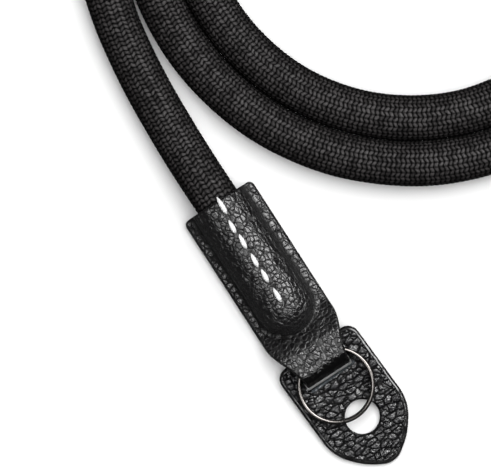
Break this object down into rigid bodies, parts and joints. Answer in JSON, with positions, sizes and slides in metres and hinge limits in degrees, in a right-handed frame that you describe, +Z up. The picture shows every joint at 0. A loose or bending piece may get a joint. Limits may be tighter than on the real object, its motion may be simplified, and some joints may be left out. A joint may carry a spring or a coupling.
{
  "type": "coiled rope camera strap",
  "caption": "Round braided rope strap lying in a coil, each end sewn into a moulded leather tab that holds a split ring and a leather shield.",
  "frame": {"origin": "on the surface the strap lies on, midway between its two leather ends", "axes": "+Z up, +X across the two ends, +Y from the ends towards the coil of rope"},
  "size_m": [0.159, 0.1981, 0.0212],
  "materials": {
    "cord": "tight nylon braid",
    "leather": "pebbled, semi gloss",
    "shield_leather": "coarse pebbled, semi gloss",
    "ring_metal": "dark nickel",
    "thread": "waxed thread"
  },
  "bodies": {
    "root": {"rope": "cord", "left_tab": "leather", "right_tab": "leather", "left_shield": "shield_leather", "right_shield": "shield_leather", "left_ring": "ring_metal", "right_ring": "ring_metal"}
  },
  "joints": []
}
